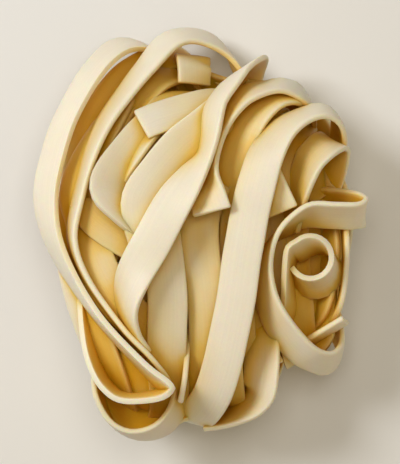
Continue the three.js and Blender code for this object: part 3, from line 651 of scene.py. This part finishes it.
def ribbonMesh(name, rails, tint, lowest):
    # a flat grid, bent onto the rails but nowhere below the lowest level, and then given its
    # thickness and round edges
    cuts = ribbonSpec["acrossCuts"]
    last = len(rails) - 1
    bpy.ops.mesh.primitive_grid_add(x_subdivisions=last, y_subdivisions=cuts, size=2)
    ribbon = bpy.context.object
    ribbon.name = name
    mesh = ribbon.data
    stepLength = laySpec["step"] * mm
    shiftAlong, shiftAcross = ribbonSpec["streakShift"]
    uv = mesh.uv_layers[0]
    uv.name = "ribbon"
    for loop in mesh.loops:
        place = mesh.vertices[loop.vertex_index].co
        along = (place.x + 1) / 2 * last * stepLength
        across = (place.y + 1) / 2 * ribbonSpec["width"] * mm
        uv.data[loop.index].uv = along + tint * shiftAlong, across + tint * shiftAcross
    # marks the rims, which take the pale flour and painted highlight colour
    rim = mesh.attributes.new("rim", "FLOAT", "POINT")
    shade = mesh.attributes.new("tint", "FLOAT", "POINT")
    for vertex in mesh.vertices:
        i = round((vertex.co.x + 1) / 2 * last)
        across = (vertex.co.y + 1) / 2
        atRim = i in (0, last) or min(across, 1 - across) < 0.5 / cuts
        rim.data[vertex.index].value = float(atRim)
        shade.data[vertex.index].value = tint
        left, right, out = rails[i]
        cup = ribbonSpec["cup"] * (1 - (2 * across - 1) ** 2)
        place = right.lerp(left, across) + out * (ribbonSpec["thickness"] / 2 + cup)
        place.z = max(place.z, lowest)
        vertex.co = place * mm
    solid = ribbon.modifiers.new("thickness", "SOLIDIFY")
    solid.thickness = ribbonSpec["thickness"] * mm
    solid.offset = 0
    bevel = ribbon.modifiers.new("edges", "BEVEL")
    bevel.width = ribbonSpec["edgeRound"] * mm
    bevel.segments = ribbonSpec["edgeSegments"]
    bevel.limit_method = "ANGLE"
    bevel.angle_limit = math.radians(ribbonSpec["edgeAngle"])
    for modifier in list(ribbon.modifiers):
        bpy.ops.object.modifier_apply(modifier=modifier.name)
    bpy.ops.object.shade_smooth()
    return ribbon


def join(pieces, name):
    bpy.ops.object.select_all(action="DESELECT")
    for piece in pieces:
        piece.select_set(True)
    bpy.context.view_layer.objects.active = pieces[0]
    bpy.ops.object.join()
    joined = bpy.context.object
    joined.name = name
    joined.data.name = name
    return joined


tintSpec = {"scatter": 12.9898, "start": 4.1}


def tintOf(i):
    # from -1 to 1, scattered over the ribbons and the same in each run
    return math.sin(tintSpec["scatter"] * i + tintSpec["start"])


# Where the nest lies, its lowest ribbons are pressed level. Each group is held off the floor by a
# height of its own, and the wound ribbons by a stagger each, so that few of them share a face.
groupSpec = {
    "innerRibbons": {"hold": 1.4, "stagger": 0.0, "firstTint": 0},
    "woundRibbons": {"hold": 0.0, "stagger": 0.07, "firstTint": 20},
    "looseRibbons": {"hold": 0.6, "stagger": 0.0, "firstTint": 50},
}
restingCut = 2.5  # how far the lowest ribbons are pressed up


def ribbonGroup(name, railsByName, floorLevel):
    spec = groupSpec[name]
    ribbons = []
    for i, (ribbonName, rails) in enumerate(railsByName.items()):
        hold = spec["hold"] + spec["stagger"] * (len(railsByName) - i)
        lowest = floorLevel + ribbonSpec["thickness"] / 2 + hold
        ribbons.append(ribbonMesh(ribbonName, rails, tintOf(i + spec["firstTint"]), lowest))
    return join(ribbons, name)


coreSpec = {
    "segments": 64,
    "rings": 40,
    "reach": 0.99,  # share of the form's half widths that it fills
    # the darkest tint, a painted shade that keeps this body dark as the deep inside of the nest
    "tint": -1.0,
}


def coreMesh(winding):
    # the form as a closed body
    bpy.ops.mesh.primitive_uv_sphere_add(
        segments=coreSpec["segments"], ring_count=coreSpec["rings"], radius=1)
    core = bpy.context.object
    core.name = "core"
    for vertex in core.data.vertices:
        across = vertex.co.z
        x = across * winding.form["right" if across > 0 else "left"] * coreSpec["reach"]
        turn = math.atan2(vertex.co.x, vertex.co.y) / (2 * math.pi)
        vertex.co = winding.point(turn, x) * mm
    core.data.uv_layers[0].name = "ribbon"
    for name, value in (("rim", 0.0), ("tint", coreSpec["tint"])):
        for entry in core.data.attributes.new(name, "FLOAT", "POINT").data:
            entry.value = value
    bpy.ops.object.mode_set(mode="EDIT")
    bpy.ops.mesh.select_all(action="SELECT")
    bpy.ops.mesh.normals_make_consistent(inside=False)
    bpy.ops.object.mode_set(mode="OBJECT")
    bpy.ops.object.shade_smooth()
    return core


bpy.ops.object.select_all(action="DESELECT")
innerWinding = Winding(innerForm)
outerWinding = Winding(outerForm)
innerRails = {f"inner{i}": innerWinding.lay(route) for i, route in enumerate(innerRoutes())}
woundRails = {name: outerWinding.lay(route) for name, route in woundRoutes.items()}
freeRails = {name: looseRails(route) for name, route in looseRoutes.items()}
print("ribbons laid:", len(innerRails) + len(woundRails) + len(freeRails))

showing = [*woundRails.values(), *freeRails.values()]
floorLevel = min(min(left.z, right.z) for rails in showing for left, right, _ in rails)
floorLevel += restingCut - ribbonSpec["thickness"]
groups = [
    ribbonGroup("innerRibbons", innerRails, floorLevel),
    ribbonGroup("woundRibbons", woundRails, floorLevel),
    ribbonGroup("looseRibbons", freeRails, floorLevel),
    coreMesh(innerWinding),
]
print("ribbons and core made")

# The nest is moved to the middle of the CAD's box and down to its underside.
corners = np.array([vertex.co for piece in groups for vertex in piece.data.vertices])
low, high = corners.min(axis=0), corners.max(axis=0)
shift = Vector((
    (nestLow.x + nestHigh.x - low[0] - high[0]) / 2,
    (nestLow.y + nestHigh.y - low[1] - high[1]) / 2,
    nestLow.z - low[2]))
for piece in groups:
    for vertex in piece.data.vertices:
        vertex.co += shift

# Rays that measure the painted shade of each place.
shadeRaySpec = {
    "count": 24,
    "start": 0.00025,  # metres off the face
    "reach": 0.016,  # metres
    "smoothing": 4,
}


def measurePaintedShade(pieces):
    # painted shade: measures how closed in each place is, the share of rays from it that soon meet a
    # ribbon, and stores it as the depth attribute that darkens the colour
    places, faces = [], []
    for piece in pieces:
        before = len(places)
        places += [vertex.co.copy() for vertex in piece.data.vertices]
        faces += [[before + i for i in face.vertices] for face in piece.data.polygons]
    tree = BVHTree.FromPolygons(places, faces)
    rays = []
    for i in range(shadeRaySpec["count"]):
        up = 1 - (i + 0.5) / shadeRaySpec["count"]
        aside = math.sqrt(1 - up * up)
        angle = i * math.pi * (3 - math.sqrt(5))  # the golden angle spreads them evenly
        rays.append(Vector((math.cos(angle) * aside, math.sin(angle) * aside, up)))
    for piece in pieces:
        mesh = piece.data
        depth = mesh.attributes.new("depth", "FLOAT", "POINT")
        closed = np.zeros(len(mesh.vertices))
        for vertex in mesh.vertices:
            turn = Vector((0, 0, 1)).rotation_difference(vertex.normal)
            start = vertex.co + vertex.normal * shadeRaySpec["start"]
            hits = [tree.ray_cast(start, turn @ ray, shadeRaySpec["reach"])[0] for ray in rays]
            closed[vertex.index] = sum(hit is not None for hit in hits) / shadeRaySpec["count"]
        first, second = np.array([edge.vertices for edge in mesh.edges]).T
        ends, others = np.append(first, second), np.append(second, first)
        neighbours = np.bincount(ends, minlength=len(closed))
        for _ in range(shadeRaySpec["smoothing"]):
            around = np.bincount(ends, closed[others], len(closed)) / neighbours
            closed = (closed + around) / 2
        depth.data.foreach_set("value", closed)


measurePaintedShade(groups)
print("shade measured")

pasta = pastaFinish()
for piece in groups:
    piece.data.materials.clear()
    piece.data.materials.append(pasta)
    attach(piece, "root")
    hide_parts("pasta_nest")
    print(piece.name, sum(len(face.vertices) - 2 for face in piece.data.polygons), "triangles")

floorSpec = {"size": 4, "colour": (0.83, 0.83, 0.82), "roughness": 0.6}
bpy.ops.mesh.primitive_plane_add(size=floorSpec["size"])
floor = bpy.context.object
floor.name = "floor"
floorFinish = Finish("floor")
floorFinish.put(floorFinish.surface, {
    "Base Color": floorSpec["colour"], "Roughness": floorSpec["roughness"]})
floor.data.materials.append(floorFinish.material)

cameraSpec = {"lens": 180, "height": 0.50}
camera = bpy.data.objects.new("camera", bpy.data.cameras.new("camera"))
bpy.context.collection.objects.link(camera)
camera.data.lens = cameraSpec["lens"]
camera.location = (0, 0, cameraSpec["height"])
bpy.context.scene.camera = camera

lightSpec = {
    "key": {"place": (-0.38, 0.22, 0.47), "size": 0.2, "power": 2.25, "colour": (1, 0.99, 0.98)},
    "front": {"place": (0.02, 0.1, 0.65), "size": 0.3, "power": 1.15, "colour": (1, 0.94, 0.84)},
    "fill": {"place": (0.35, -0.3, 0.25), "size": 0.3, "power": 0.2, "colour": (1, 0.7, 0.25)},
}
lightAim = Vector((0, 0, 0.02))
for name, spec in lightSpec.items():
    light = bpy.data.objects.new(name, bpy.data.lights.new(name, "AREA"))
    bpy.context.collection.objects.link(light)
    light.data.size = spec["size"]
    light.data.energy = spec["power"]
    light.data.color = spec["colour"]
    light.location = spec["place"]
    light.rotation_euler = (lightAim - Vector(spec["place"])).to_track_quat("-Z", "Y").to_euler()

worldSpec = {"colour": (1, 0.87, 0.64, 1), "strength": 0.22}
world = bpy.data.worlds.new("world")
bpy.context.scene.world = world
world.use_nodes = True
sky = world.node_tree.nodes["Background"]
sky.inputs["Color"].default_value = worldSpec["colour"]
sky.inputs["Strength"].default_value = worldSpec["strength"]
bpy.context.scene.view_settings.view_transform = "Standard"
print("floor, camera and lights set")
